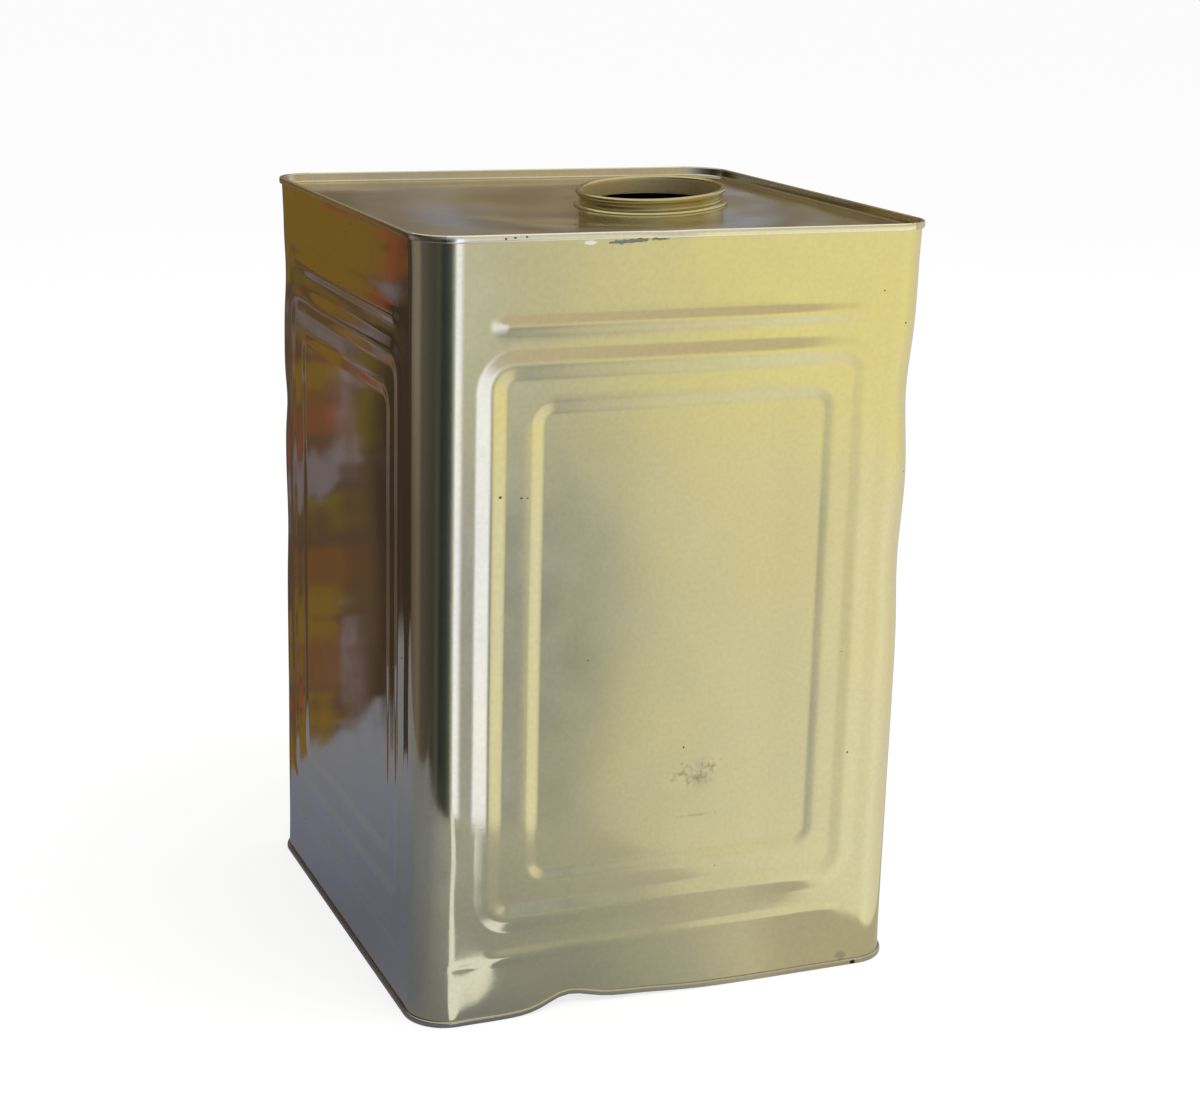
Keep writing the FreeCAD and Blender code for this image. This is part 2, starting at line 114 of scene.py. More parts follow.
def pressed(across, height):
    """How far the sheet stands out of a side, or is sunk into it, at a place on it."""
    frame_depth = inside_outline(across, height - (frame_low + frame_high) / 2,
                                 frame_half, (frame_high - frame_low) / 2, frame_corner)
    ridge_end = 2 * ridge_flank + ridge_crest
    out = ridge_rise * ramp(frame_depth, ridge_flank) * ramp(ridge_end - frame_depth, ridge_flank)
    panel_depth = inside_outline(across - panel_shift, height - (panel_low + panel_high) / 2,
                                 panel_half, (panel_high - panel_low) / 2, panel_corner)
    out -= panel_sink * ramp(panel_depth, panel_flank)
    for level in bead_levels:
        flank = ramp(bead_width / 2 - abs(height - level), (bead_width - bead_crest) / 2)
        out += bead_rise * flank * ramp(bead_half - abs(across), bead_end)
    return out


# Knocks: where, how wide each way, and how far the metal is pushed, all in millimetres.
knocks = [
    ((-46, -119, 0), (14, 30, 20), (0, 4.4, 3.6)),        # front edge of the floor seam
    ((-22, -119, 0), (30, 30, 22), (0, 2.6, 1.6)),
    ((119, -119, 272), (26, 26, 24), (-3.0, 0.4, 0)),     # upright corner at the right
    ((119, -119, 196), (22, 22, 26), (-2.4, 0.3, 0)),
    ((-119, 119, 303), (24, 24, 16), (1.2, -1.2, 0)),     # upright corner at the back left
    ((-119, 119, 240), (24, 24, 12), (1.3, -1.3, 0)),
    ((-119, 119, 176), (24, 24, 22), (0.9, -0.9, 0)),
    ((-108, -119, 80), (11, 12, 15), (0.1, 0.7, 0)),      # upright corner nearest the viewer
    ((-104, -119, 40), (11, 12, 9), (0, 0.35, 0)),
    ((-97, -119, 27), (7, 8, 1.8), (0, 0.5, 0)),          # crease beside the lower bead
    ((-93, -119, 13), (9, 10, 11), (0, 0.7, 0)),
    ((10, -119, 103), (7, 8, 4), (0, 0.22, 0)),           # scuffed dent in the front panel
    ((17, -119, 109), (4, 8, 2.6), (0, -0.12, 0)),
    ((28, -119, 110), (7, 8, 2.6), (0, 0.1, 0)),
    ((-10, -119, 349), (9, 6, 3), (0, 0.5, -0.3)),        # nick in the front rim
]
knock_end = 3                                # a knock ends this many widths from its middle


def knocked(place):
    """A place on the tin after the knocks it has had."""
    moved = Vector(place)
    for middle, widths, push in knocks:
        far = sum(((place[i] / mm - middle[i]) / widths[i]) ** 2 for i in range(3))
        if far < knock_end ** 2:
            moved += Vector(push) * mm * math.exp(-far)
    return moved


wide_wave, close_wave, wide_share = 75 * mm, 32 * mm, 0.75
another_part = Vector((7, 3, 5))             # of the noise, so that the two waves differ


def slack(place, outward, amount):
    """The thin sheet's own unevenness, always inwards."""
    wide = noise.noise(Vector(place) / wide_wave)
    close = noise.noise(Vector(place) / close_wave + another_part)
    return Vector(place) - outward * amount * (0.5 + 0.5 * (wide_share * wide + (1 - wide_share) * close))


def stations(low, high, fine_spans, fine, coarse):
    """Places from low to high, close together in the spans that hold a pressed edge."""
    marks = {low, high}
    for start, end in fine_spans:
        marks.update((max(start, low), min(end, high)))
    marks = sorted(marks)
    places = []
    for start, end in zip(marks, marks[1:]):
        middle = (start + end) / 2
        step = fine if any(first < middle < last for first, last in fine_spans) else coarse
        count = max(1, round((end - start) / step))
        places += [start + (end - start) * i / count for i in range(count)]
    return places + [high]


def square_columns(flat_places, corner_steps):
    """Columns round the tin, side by side from the front to the right, back and left.

    Each is a place on the square of the corners' middles, the way out of it, and how far
    along its own side it stands, or None in a corner.
    """
    columns = []
    for turn in range(4):
        turned = Matrix.Rotation(turn * math.pi / 2, 3, "Z")
        for across in flat_places:
            columns.append((turned @ Vector((across, -corner_middle, 0)),
                            turned @ Vector((0, -1, 0)), across))
        for step in range(1, corner_steps):
            angle = -math.pi / 2 + step / corner_steps * math.pi / 2
            columns.append((turned @ Vector((corner_middle, -corner_middle, 0)),
                            turned @ Vector((math.cos(angle), math.sin(angle), 0)), None))
    return columns


def loops_to_mesh(name, loops, close_start=False, close_end=False, round_trip=False):
    """A smooth mesh through loops of the same number of places."""
    count = len(loops[0])
    places = [place for loop in loops for place in loop]
    faces = []
    rows = len(loops)
    for row in range(rows if round_trip else rows - 1):
        here, there = row * count, (row + 1) % rows * count
        for i in range(count):
            after = (i + 1) % count
            faces.append((here + i, here + after, there + after, there + i))
    for wanted, first in ((close_start, 0), (close_end, (rows - 1) * count)):
        if wanted:
            middle = sum((places[first + i] for i in range(count)), Vector()) / count
            places.append(middle)
            tip = len(places) - 1
            faces += [(first + (i + 1) % count, first + i, tip) if first == 0
                      else (first + i, first + (i + 1) % count, tip) for i in range(count)]
    mesh = bpy.data.meshes.new(name)
    mesh.from_pydata(places, [], faces)
    mesh.validate()
    mesh.polygons.foreach_set("use_smooth", [True] * len(mesh.polygons))
    piece = bpy.data.objects.new(name, mesh)
    bpy.context.collection.objects.link(piece)
    return piece


fine_step, coarse_step = 0.95 * mm, 5 * mm
frame_band, panel_band, frame_margin = 19.5 * mm, 12 * mm, 6 * mm
scuff_across, scuff_up = (4 * mm, 26 * mm), (98 * mm, 117 * mm)
seam_reach = 0.9 * mm                        # how far the sheet runs in under a seam's leg
across_fine = [scuff_across, (-frame_half, -frame_half + frame_band),
               (frame_half - frame_band, frame_half + frame_margin),
               (-frame_half - frame_margin, -frame_half),
               (panel_shift - panel_half, panel_shift - panel_half + panel_band),
               (panel_shift + panel_half - panel_band, panel_shift + panel_half)]
up_fine = [(frame_low, frame_low + frame_band), (frame_high - frame_band, frame_high),
           (panel_low, panel_low + panel_band), (panel_high - panel_band, panel_high), scuff_up]
up_fine += [(level - bead_width / 2, level + bead_width / 2) for level in bead_levels]
up_fine += [(bottom_seam - seam_reach, bottom_seam + seam_reach),
            (tin_top - top_seam - seam_reach, tin_top - top_seam + seam_reach)]
flat_places = stations(-corner_middle, corner_middle, across_fine, fine_step, coarse_step)
heights = stations(bottom_seam - seam_reach, tin_top - top_seam + seam_reach, up_fine,
                   fine_step, coarse_step)
corner_steps = 14
columns = square_columns(flat_places, corner_steps)
fade_share, fade_start, fade_width = 0.6, 45 * mm, 32 * mm
facing = 0.99                                # a way out of this much towards a side is that side's own


def press_share(outward, across):
    """How fully the pressings are formed: they fade to the front's right and the left side's back."""
    if outward.y < -facing:
        return 1.0 - fade_share * ramp(across - fade_start, fade_width)
    if outward.x < -facing:
        return 1.0 - fade_share * ramp(-across - fade_start, fade_width)
    return 1.0


slack_most, slack_fade = 0.8 * mm, 14 * mm   # the seams hold the sheet firm over this height
rows = []
for height in heights:
    row = []
    end_gap = min(height - bottom_seam, tin_top - top_seam - height)
    loose = slack_most * min(max(end_gap / slack_fade, 0), 1)
    for middle, outward, across in columns:
        out = corner
        if across is not None:
            out += pressed(across, height) * press_share(outward, across)
        place = Vector((middle.x, middle.y, height)) + outward * out
        row.append(knocked(slack(place, outward, loose)))
    rows.append(row)
tin_body = loops_to_mesh("tin_body_sheet", rows)
thickness = tin_body.modifiers.new("sheet", "SOLIDIFY")
thickness.thickness = sheet
thickness.offset = -1


def node(tree, kind, **settings):
    """A shader node, with its settings and the plain values of its sockets."""
    made = tree.nodes.new(kind)
    for name, value in settings.items():
        if name in made.inputs:
            made.inputs[name].default_value = value
        else:
            setattr(made, name, value)
    return made


def feed(tree, value, socket):
    """Give a socket what another socket puts out, or a plain colour or number."""
    if isinstance(value, bpy.types.NodeSocket):
        tree.links.new(value, socket)
    elif isinstance(value, tuple):
        socket.default_value = (*value, 1)
    else:
        socket.default_value = value


def worked_out(tree, operation, *values):
    """What a sum on the values gives."""
    made = node(tree, "ShaderNodeMath", operation=operation)
    for value, socket in zip(values, made.inputs):
        feed(tree, value, socket)
    return made.outputs[0]


def spread(tree, value, low, high, first=0.0, last=1.0):
    """From first to last as a value goes from low to high."""
    made = node(tree, "ShaderNodeMapRange")
    for name, given in (("Value", value), ("From Min", low), ("From Max", high),
                        ("To Min", first), ("To Max", last)):
        feed(tree, given, made.inputs[name])
    return made.outputs["Result"]


# The sockets of a mix of colours or of numbers: the first, the second and what comes out.
mix_sockets = {"RGBA": (6, 7, 2), "FLOAT": (2, 3, 0)}


def mixed(tree, share, first, second, kind="RGBA", blend_type="MIX"):
    """The first colour or number with the second laid on it by a share from 0 to 1."""
    made = node(tree, "ShaderNodeMix", data_type=kind, blend_type=blend_type)
    first_socket, second_socket, out = mix_sockets[kind]
    feed(tree, share, made.inputs["Factor"])
    feed(tree, first, made.inputs[first_socket])
    feed(tree, second, made.inputs[second_socket])
    return made.outputs[out]


def laid_on(tree, where, kind, **settings):
    """A pattern, or any other node that works on places."""
    made = node(tree, kind, **settings)
    tree.links.new(where, made.inputs["Vector"])
    return made


def tinplate_finish():
    """Lacquered tinplate: gold that turns grey where it is thin, a fine grain, smears and specks."""
    tree = bpy.data.node_groups.new("tinplate finish", "ShaderNodeTree")
    for name, kind in (("Gold", "NodeSocketColor"), ("Grey", "NodeSocketColor"),
                       ("Greying", "NodeSocketFloat"), ("Roughness", "NodeSocketFloat"),
                       ("Grain", "NodeSocketFloat")):
        tree.interface.new_socket(name, in_out="INPUT", socket_type=kind)
    for name, kind in (("Color", "NodeSocketColor"), ("Roughness", "NodeSocketFloat"),
                       ("Height", "NodeSocketFloat")):
        tree.interface.new_socket(name, in_out="OUTPUT", socket_type=kind)
    given = tree.nodes.new("NodeGroupInput")
    result = tree.nodes.new("NodeGroupOutput")
    where = tree.nodes.new("ShaderNodeTexCoord").outputs["Object"]

    # Clouds where the lacquer is thin, with a fine mottle over all of it.
    clouds = laid_on(tree, where, "ShaderNodeTexNoise", Scale=9.0, Detail=4.0, Roughness=0.55)
    thin = worked_out(tree, "MULTIPLY", spread(tree, clouds.outputs["Fac"], 0.35, 0.7),
                      given.outputs["Greying"])
    tone = mixed(tree, thin, given.outputs["Gold"], given.outputs["Grey"])
    mottle = laid_on(tree, where, "ShaderNodeTexNoise", Scale=480.0, Detail=3.0)
    mottled = node(tree, "ShaderNodeVectorMath", operation="SCALE")
    feed(tree, tone, mottled.inputs[0])
    feed(tree, spread(tree, mottle.outputs["Fac"], 0.35, 0.65, 0.97, 1.015), mottled.inputs["Scale"])

    # Rare dark specks, which come in flocks.
    cells = laid_on(tree, where, "ShaderNodeTexVoronoi", Scale=170.0, Randomness=1.0)
    near = worked_out(tree, "LESS_THAN", cells.outputs["Distance"], 0.085)
    pick = tree.nodes.new("ShaderNodeSeparateColor")
    feed(tree, cells.outputs["Color"], pick.inputs[0])
    flocks = laid_on(tree, where, "ShaderNodeTexNoise", Scale=22.0, Detail=2.0)
    lot = worked_out(tree, "MULTIPLY_ADD", flocks.outputs["Fac"], 0.45, pick.outputs[0])
    speck = worked_out(tree, "MULTIPLY", near, worked_out(tree, "GREATER_THAN", lot, 1.2))
    dark_speck = (0.13, 0.10, 0.05)
    feed(tree, mixed(tree, speck, mottled.outputs[0], dark_speck), result.inputs["Color"])

    # Smears and specks are duller, and the grain stands up a little.
    smears = laid_on(tree, where, "ShaderNodeTexNoise", Scale=35.0, Detail=5.0, Roughness=0.6)
    smear = spread(tree, smears.outputs["Fac"], 0.3, 0.75, -0.035, 0.06)
    dull = worked_out(tree, "ADD", given.outputs["Roughness"], smear)
    feed(tree, worked_out(tree, "MULTIPLY_ADD", speck, 0.3, dull), result.inputs["Roughness"])
    grain = laid_on(tree, where, "ShaderNodeTexNoise", Scale=900.0, Detail=2.0)
    feed(tree, worked_out(tree, "MULTIPLY", grain.outputs["Fac"], given.outputs["Grain"]),
         result.inputs["Height"])
    return tree


tinplate = tinplate_finish()


def tinplate_material(name, gold, grey, greying, roughness, grain):
    """A material with the tinplate finish, in its own colours and as dull as it is worn."""
    material = bpy.data.materials.new(name)
    material.use_nodes = True
    tree = material.node_tree
    shader = tree.nodes["Principled BSDF"]
    shader.inputs["Metallic"].default_value = 1.0
    finish = tree.nodes.new("ShaderNodeGroup")
    finish.node_tree = tinplate
    finish.inputs["Gold"].default_value = (*gold, 1)
    finish.inputs["Grey"].default_value = (*grey, 1)
    finish.inputs["Greying"].default_value = greying
    finish.inputs["Roughness"].default_value = roughness
    finish.inputs["Grain"].default_value = grain
    bump = node(tree, "ShaderNodeBump", Strength=0.25, Distance=0.05 * mm)
    feed(tree, finish.outputs["Color"], shader.inputs["Base Color"])
    feed(tree, finish.outputs["Roughness"], shader.inputs["Roughness"])
    feed(tree, finish.outputs["Height"], bump.inputs["Height"])
    feed(tree, bump.outputs["Normal"], shader.inputs["Normal"])
    return material


# The left side has kept more of its shine than the others.
side_gold, side_grey = (0.70, 0.63, 0.37), (0.66, 0.62, 0.44)
side_finish = tinplate_material("side tinplate", gold=side_gold, grey=side_grey,
                                greying=0.6, roughness=0.13, grain=0.6)
bright_finish = tinplate_material("bright side tinplate", gold=side_gold, grey=side_grey,
                                  greying=0.6, roughness=0.085, grain=0.6)
mark_depth = 8 * mm                          # marks end this far behind the front


def add_marks(material, marks, colour, roughness, softness=0.3):
    """Scuffs and chips on the front, in millimetres.

    Each mark is its place across and up, half its width and height, and how ragged it is.
    """
    tree = material.node_tree
    where = tree.nodes.new("ShaderNodeTexCoord").outputs["Object"]
    ragged = laid_on(tree, where, "ShaderNodeTexNoise", Scale=420.0, Detail=3.0)
    mask = 0.0
    for across, up, half_wide, half_high, raggedness in marks:
        spot = laid_on(tree, where, "ShaderNodeMapping", vector_type="TEXTURE",
                       Location=(across * mm, -side_half, up * mm),
                       Scale=(half_wide * mm, mark_depth, half_high * mm))
        far = node(tree, "ShaderNodeVectorMath", operation="LENGTH")
        feed(tree, spot.outputs[0], far.inputs[0])
        edge = worked_out(tree, "MULTIPLY_ADD", ragged.outputs["Fac"], raggedness, far.outputs["Value"])
        halfway = 0.5 * raggedness
        inside = spread(tree, edge, 1.0 + halfway, 1.0 - softness + halfway)
        mask = worked_out(tree, "MAXIMUM", inside, mask)
    shader = tree.nodes["Principled BSDF"]
    for name, marked, kind in (("Base Color", colour, "RGBA"), ("Roughness", roughness, "FLOAT")):
        plain = shader.inputs[name].links[0].from_socket
        feed(tree, mixed(tree, mask, plain, marked, kind), shader.inputs[name])


# Dark dots, the scuff, the chips under the rim, a rubbed patch, a scratch and a bright nick.
add_marks(side_finish, [
    (-82.9, 239.6, 0.9, 0.7, 0.4), (-73.4, 238.5, 0.8, 0.5, 0.6), (-70.7, 238.4, 0.6, 0.4, 0.6),
], (0.16, 0.14, 0.08), 0.45)
add_marks(side_finish, [
    (7, 105.5, 7, 4.5, 5.0), (14, 103.5, 6, 3.6, 5.0), (19, 108.5, 4, 3.8, 5.0),
], (0.42, 0.37, 0.24), 0.22, softness=1.6)
add_marks(side_finish, [
    (-33, 344.4, 4, 0.8, 3.0), (-26, 344.9, 6, 0.8, 3.0), (-14, 345.3, 5, 0.7, 3.0),
], (0.24, 0.25, 0.24), 0.35)
add_marks(side_finish, [(90.5, 5.0, 2.4, 2.6, 2.5)], (0.50, 0.48, 0.32), 0.2)
add_marks(side_finish, [(12, 85.5, 10, 0.9, 3.0)], (0.48, 0.43, 0.26), 0.2, softness=1.4)
add_marks(side_finish, [(-45, 344.6, 3.4, 1.0, 0.8)], (1.0, 1.0, 0.95), 0.4)
tin_body.data.materials.append(side_finish)
tin_body.data.materials.append(bright_finish)
bright_start = -side_half + 6 * mm
for face in tin_body.data.polygons:
    if face.center.x < -corner_middle and face.center.y > bright_start:
        face.material_index = 1
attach(tin_body, "root")
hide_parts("tin_body")


# ---------------------------------------------------------------- top lid
# The lid is a shallow square pan pressed from the same plate.  Its edge is rolled over the
# tube's in a double seam, and its middle hangs down, so that the mouth leans with it.
mouth_middle = Vector((42 * mm, 22 * mm, 0))
lid_depth = 4.5 * mm
sag = 4.1 * mm
sag_radius = side_half - 2 * sheet - 9.2 * mm
sag_arc = (sag_radius ** 2 + sag ** 2) / (4 * sag)
mouth_bore = 66.6 * mm


def sagging(x, y):
    """How far the lid hangs below its own edge at a place."""
    far = math.hypot(x, y)
    if far >= sag_radius:
        return 0.0
    if far > sag_radius / 2:
        rest = sag_radius - far
        return sag_arc - math.sqrt(sag_arc ** 2 - rest ** 2)
    return sag - (sag_arc - math.sqrt(sag_arc ** 2 - far ** 2))


seam_roll, pan_bend = 0.8 * mm, 1.0 * mm     # radius of the seam's top, and bend from wall to floor
curl_in, curl_high = 0.7 * mm, 0.9 * mm      # the curl at the foot of the seam's outer leg
roll_steps, curl_steps = 8, 5
sliver = 0.02 * mm                           # the skins meet this far from the tube


def seam_profile(leg):
    """The seam from the lid's wall over its round top and down the outer leg: out, then down."""
    half_thick = (seam_proud + 2 * sheet) / 2
    middle = seam_proud - half_thick
    flat = half_thick - seam_roll
    points = [(-2 * sheet, lid_depth - pan_bend)]
    for step in range(roll_steps + 1):
        angle = math.pi * (1 - step / roll_steps)
        side = -flat if step < roll_steps / 2 else flat if step > roll_steps / 2 else 0
        points.append((middle + side + seam_roll * math.cos(angle), seam_roll * (1 - math.sin(angle))))
    points.append((seam_proud, leg - 1.0 * mm))
    for step in range(1, curl_steps + 1):
        angle = step / curl_steps * math.pi / 2
        points.append((seam_proud - curl_in * (1 - math.cos(angle)),
                       leg - curl_high + curl_high * math.sin(angle)))
    points.append((0.1 * mm, leg))
    points.append((0.0, leg - sliver))
    return points


lid_places = stations(-corner_middle, corner_middle, [], fine_step, coarse_step)
lid_corner_steps = 12
lid_columns = square_columns(lid_places, lid_corner_steps)


def swept(points, level, way):
    """Loops round the tin at places out from its side and down from a level, or up with way -1."""
    loops = []
    for out, down in points:
        loop = [middle + outward * (corner + out) + Vector((0, 0, level - way * down))
                for middle, outward, across in lid_columns]
        loops.append([knocked(place) for place in loop])
    return loops


lid_wave, lid_wave_height = 30 * mm, 0.16 * mm
wave_hold = 5                                # the wave grows over a fifth of the way at both ends


def lid_floor(edge_out, inner_radius, centre, steps, height_at):
    """Loops from the lid's edge in to a circle, on a gently waved sheet."""
    loops = []
    for step in range(1, steps + 1):
        share = step / steps
        loop = []
        for middle, outward, across in lid_columns:
            edge = middle + outward * (corner + edge_out)
            toward = (edge - centre).normalized()
            place = edge.lerp(centre + toward * inner_radius, share)
            wave = noise.noise(Vector((place.x, place.y, 0)) / lid_wave) * lid_wave_height
            held = min(1.0, wave_hold * min(share, 1 - share))
            loop.append(Vector((place.x, place.y, height_at(place.x, place.y) + wave * held)))
        loops.append(loop)
    return loops


lid_level = tin_top - lid_depth
pan_out = -2 * sheet                         # the pan's wall stands inside the tube
floor_out = pan_out - pan_bend
top_steps = 44                               # loops from the edge to the mouth
top_skin = lid_floor(floor_out, mouth_bore / 2, mouth_middle, top_steps,
                     lambda x, y: lid_level - sagging(x, y))
under_skin = [[place - Vector((0, 0, sheet)) for place in loop] for loop in reversed(top_skin)]
bend = [(pan_out - 0.3 * mm, lid_depth - 0.3 * mm), (floor_out, lid_depth)]
under_bend = [(floor_out, lid_depth + sheet), (-sheet, lid_depth + sheet),
              (-sheet, top_seam), (sliver, top_seam)]
loops = list(reversed(swept(seam_profile(top_seam), tin_top, 1)))
loops += swept(bend, tin_top, 1) + top_skin + under_skin + swept(under_bend, tin_top, 1)
top_lid = loops_to_mesh("top_lid_sheet", loops)
lid_finish = tinplate_material("lid tinplate", gold=(0.62, 0.56, 0.33), grey=(0.42, 0.38, 0.33),
                               greying=0.7, roughness=0.13, grain=0.6)
rim_finish = tinplate_material("worn rim tinplate", gold=(0.86, 0.83, 0.66), grey=(0.74, 0.72, 0.60),
                               greying=0.8, roughness=0.16, grain=0.6)
add_marks(rim_finish, [
    (-32, 344.8, 5, 0.8, 3.0), (-24, 345.2, 5, 0.8, 3.5), (-15, 345.4, 4, 0.6, 3.5),
    (-78.5, 347.6, 0.8, 0.5, 0.6), (-73.5, 347.9, 0.7, 0.5, 0.6),
], (0.16, 0.16, 0.18), 0.5)
top_lid.data.materials.append(lid_finish)
top_lid.data.materials.append(rim_finish)
for face in top_lid.data.polygons:
    if max(abs(face.center.x), abs(face.center.y)) > side_half - sheet:
        face.material_index = 1
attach(top_lid, "root")
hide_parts("top_end")


# ---------------------------------------------------------------- bottom lid
# The same pan without a mouth, seamed on below.  The tin stands on its seam.
bottom_steps, bottom_middle = 24, 3 * mm     # loops from the edge to a small circle in the middle
floor_skin = lid_floor(floor_out, bottom_middle, Vector(), bottom_steps, lambda x, y: lid_depth)
inner_skin = [[place + Vector((0, 0, sheet)) for place in loop] for loop in reversed(floor_skin)]
inner_bend = under_bend[:2] + [(-sheet, bottom_seam), (sliver, bottom_seam)]
loops = inner_skin + swept(inner_bend, 0, -1)
loops += list(reversed(swept(seam_profile(bottom_seam), 0, -1)))
loops += swept(bend, 0, -1) + floor_skin
bottom_lid = loops_to_mesh("bottom_lid_sheet", loops, close_start=True, close_end=True)
bottom_finish = tinplate_material("bottom tinplate", gold=(0.52, 0.48, 0.34), grey=(0.44, 0.43, 0.37),
                                  greying=0.8, roughness=0.25, grain=0.6)
add_marks(bottom_finish, [(96.5, 1.3, 1.7, 1.2, 0.6)], (0.03, 0.02, 0.015), 0.6)
bottom_lid.data.materials.append(bottom_finish)
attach(bottom_lid, "root")
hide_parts("bottom_end")


# ---------------------------------------------------------------- neck ring
# The mouth is a rolled ring: a bead at its foot, a thin wall, and a lip rolled outwards.
# It stands square to the sloping lid.  Its inside is duller than the rest and a paler gold, painted light
# that makes the inside of the mouth look lit.
bore = mouth_bore / 2                        # half the mouth's width
neck_height, neck_wall = 8.4 * mm, 0.9 * mm
lip_roll, lip_turn = 2.6 * mm, math.radians(250)
foot_width, foot_height = 3.7 * mm, 2.6 * mm
foot_upright = 0.35                          # the share of the foot's height that stands upright
lip_steps, foot_steps, around = 12, 6, 120
above_lid = 0.3 * mm                         # the ring's visible loops stay this far over the lid
offset = math.hypot(mouth_middle.x, mouth_middle.y)
lean = math.asin(offset / sag_arc)
foot_level = lid_level - sagging(mouth_middle.x, mouth_middle.y)
lean_axis = Vector((mouth_middle.y, -mouth_middle.x, 0)).normalized()
neck_place = (Matrix.Translation((mouth_middle.x, mouth_middle.y, foot_level))
              @ Matrix.Rotation(lean, 4, lean_axis))
lip_radius = lip_roll / 2
lip_level = neck_height - lip_radius
profile = [(bore + 0.3 * mm, -0.6 * mm), (bore, -0.5 * mm), (bore, 0.1 * mm),
           (bore, lip_level - 1 * mm), (bore, lip_level)]
for step in range(1, lip_steps + 1):
    angle = math.pi - step / lip_steps * lip_turn
    profile.append((bore + lip_radius + lip_radius * math.cos(angle),
                    lip_level + lip_radius * math.sin(angle)))
wall_out = bore + neck_wall
profile.append((wall_out, lip_level - lip_radius - 0.2 * mm))
profile.append((wall_out, foot_height + 0.3 * mm))
foot_in = wall_out + 0.2 * mm
for step in range(foot_steps + 1):
    angle = math.pi / 2 - step / foot_steps * math.pi / 2
    profile.append((foot_in + (bore + foot_width - foot_in) * math.cos(angle),
                    foot_height * (foot_upright + (1 - foot_upright) * math.sin(angle))))
profile.append((bore + foot_width, -0.4 * mm))
loops = []
for out, up in profile:
    loop = []
    for i in range(around):
        angle = i / around * 2 * math.pi
        place = neck_place @ Vector((out * math.cos(angle), out * math.sin(angle), up))
        lid_here = lid_level - sagging(place.x, place.y)
        place.z = lid_here if up < 0 else max(place.z, lid_here + above_lid)
        loop.append(place)
    loops.append(loop)
neck = loops_to_mesh("neck_ring_rolled", loops, round_trip=True)
neck_finish = tinplate_material("neck tinplate", gold=(0.55, 0.46, 0.20), grey=(0.45, 0.40, 0.26),
                                greying=0.5, roughness=0.24, grain=0.5)
# The inside's paler gold is painted light, brighter than the neck's own colour, so that the mouth shows
# bright inside.
neck_inside_painted_light = tinplate_material("dull neck inside with painted light", gold=(0.88, 0.72, 0.36),
                                       grey=(0.80, 0.72, 0.48), greying=0.5, roughness=0.55, grain=0.5)
neck.data.materials.append(neck_finish)
neck.data.materials.append(neck_inside_painted_light)
upright = neck_place.inverted()
inside_reach = bore + 0.2 * mm
for face in neck.data.polygons:
    middle = upright @ face.center
    if math.hypot(middle.x, middle.y) < inside_reach and middle.z < lip_level:
        face.material_index = 1
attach(neck, "root")
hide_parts("neck_ring")


# ---------------------------------------------------------------- floor, room and lamp
# A pale floor in a white room, under one soft lamp.  Both look bright to the eye, but throw only
# plain light on the tin.  Its metal sees the cards below in place of the floor.
def stage_mesh(name, places, faces):
    """A mesh that belongs to the room and not to the tin."""
    mesh = bpy.data.meshes.new(name)
    mesh.from_pydata(places, [], faces)
    thing = bpy.data.objects.new(name, mesh)
    bpy.context.collection.objects.link(thing)
    return thing


def bare_material(name):
    """A material with nothing in it but its output."""
    material = bpy.data.materials.new(name)
    material.use_nodes = True
    material.node_tree.nodes.remove(material.node_tree.nodes["Principled BSDF"])
    return material


def looked_at(tree):
    """1 where the eye looks, straight or by way of metal or glass, and 0 for light on its way."""
    seen = tree.nodes.new("ShaderNodeLightPath")
    by_metal = worked_out(tree, "MAXIMUM", seen.outputs["Is Camera Ray"], seen.outputs["Is Glossy Ray"])
    return worked_out(tree, "MAXIMUM", by_metal, seen.outputs["Is Transmission Ray"])


floor_half, floor_glow, room_light = 20, 0.6, 0.6
floor = stage_mesh("floor", [(-floor_half, -floor_half, 0), (floor_half, -floor_half, 0),
                             (floor_half, floor_half, 0), (-floor_half, floor_half, 0)], [(0, 1, 2, 3)])
floor.visible_glossy = False
floor_material = bare_material("pale floor")
tree = floor_material.node_tree
diffuse = node(tree, "ShaderNodeBsdfDiffuse", Color=(0.9, 0.9, 0.9, 1))
glow = node(tree, "ShaderNodeEmission", Strength=1.25)
both = tree.nodes.new("ShaderNodeMixShader")
feed(tree, worked_out(tree, "MULTIPLY", looked_at(tree), floor_glow), both.inputs["Fac"])
feed(tree, diffuse.outputs[0], both.inputs[1])
feed(tree, glow.outputs[0], both.inputs[2])
feed(tree, both.outputs[0], tree.nodes["Material Output"].inputs["Surface"])
floor.data.materials.append(floor_material)

world = bpy.data.worlds.new("white room")
bpy.context.scene.world = world
world.use_nodes = True
tree = world.node_tree
background = tree.nodes["Background"]
background.inputs["Color"].default_value = (1, 1, 1, 1)
feed(tree, spread(tree, looked_at(tree), 0.0, 1.0, room_light, 1.0), background.inputs["Strength"])

lamp_data = bpy.data.lights.new("overhead lamp", "AREA")
lamp_data.size = 2.0
lamp_data.energy = 20
lamp = bpy.data.objects.new("overhead_lamp", lamp_data)
lamp.location = (0.6, -0.8, 2.0)
tin_middle = Vector((0, 0, 0.15))
lamp.rotation_euler = (tin_middle - lamp.location).to_track_quat("-Z", "Y").to_euler()
lamp.visible_glossy = False
bpy.context.collection.objects.link(lamp)


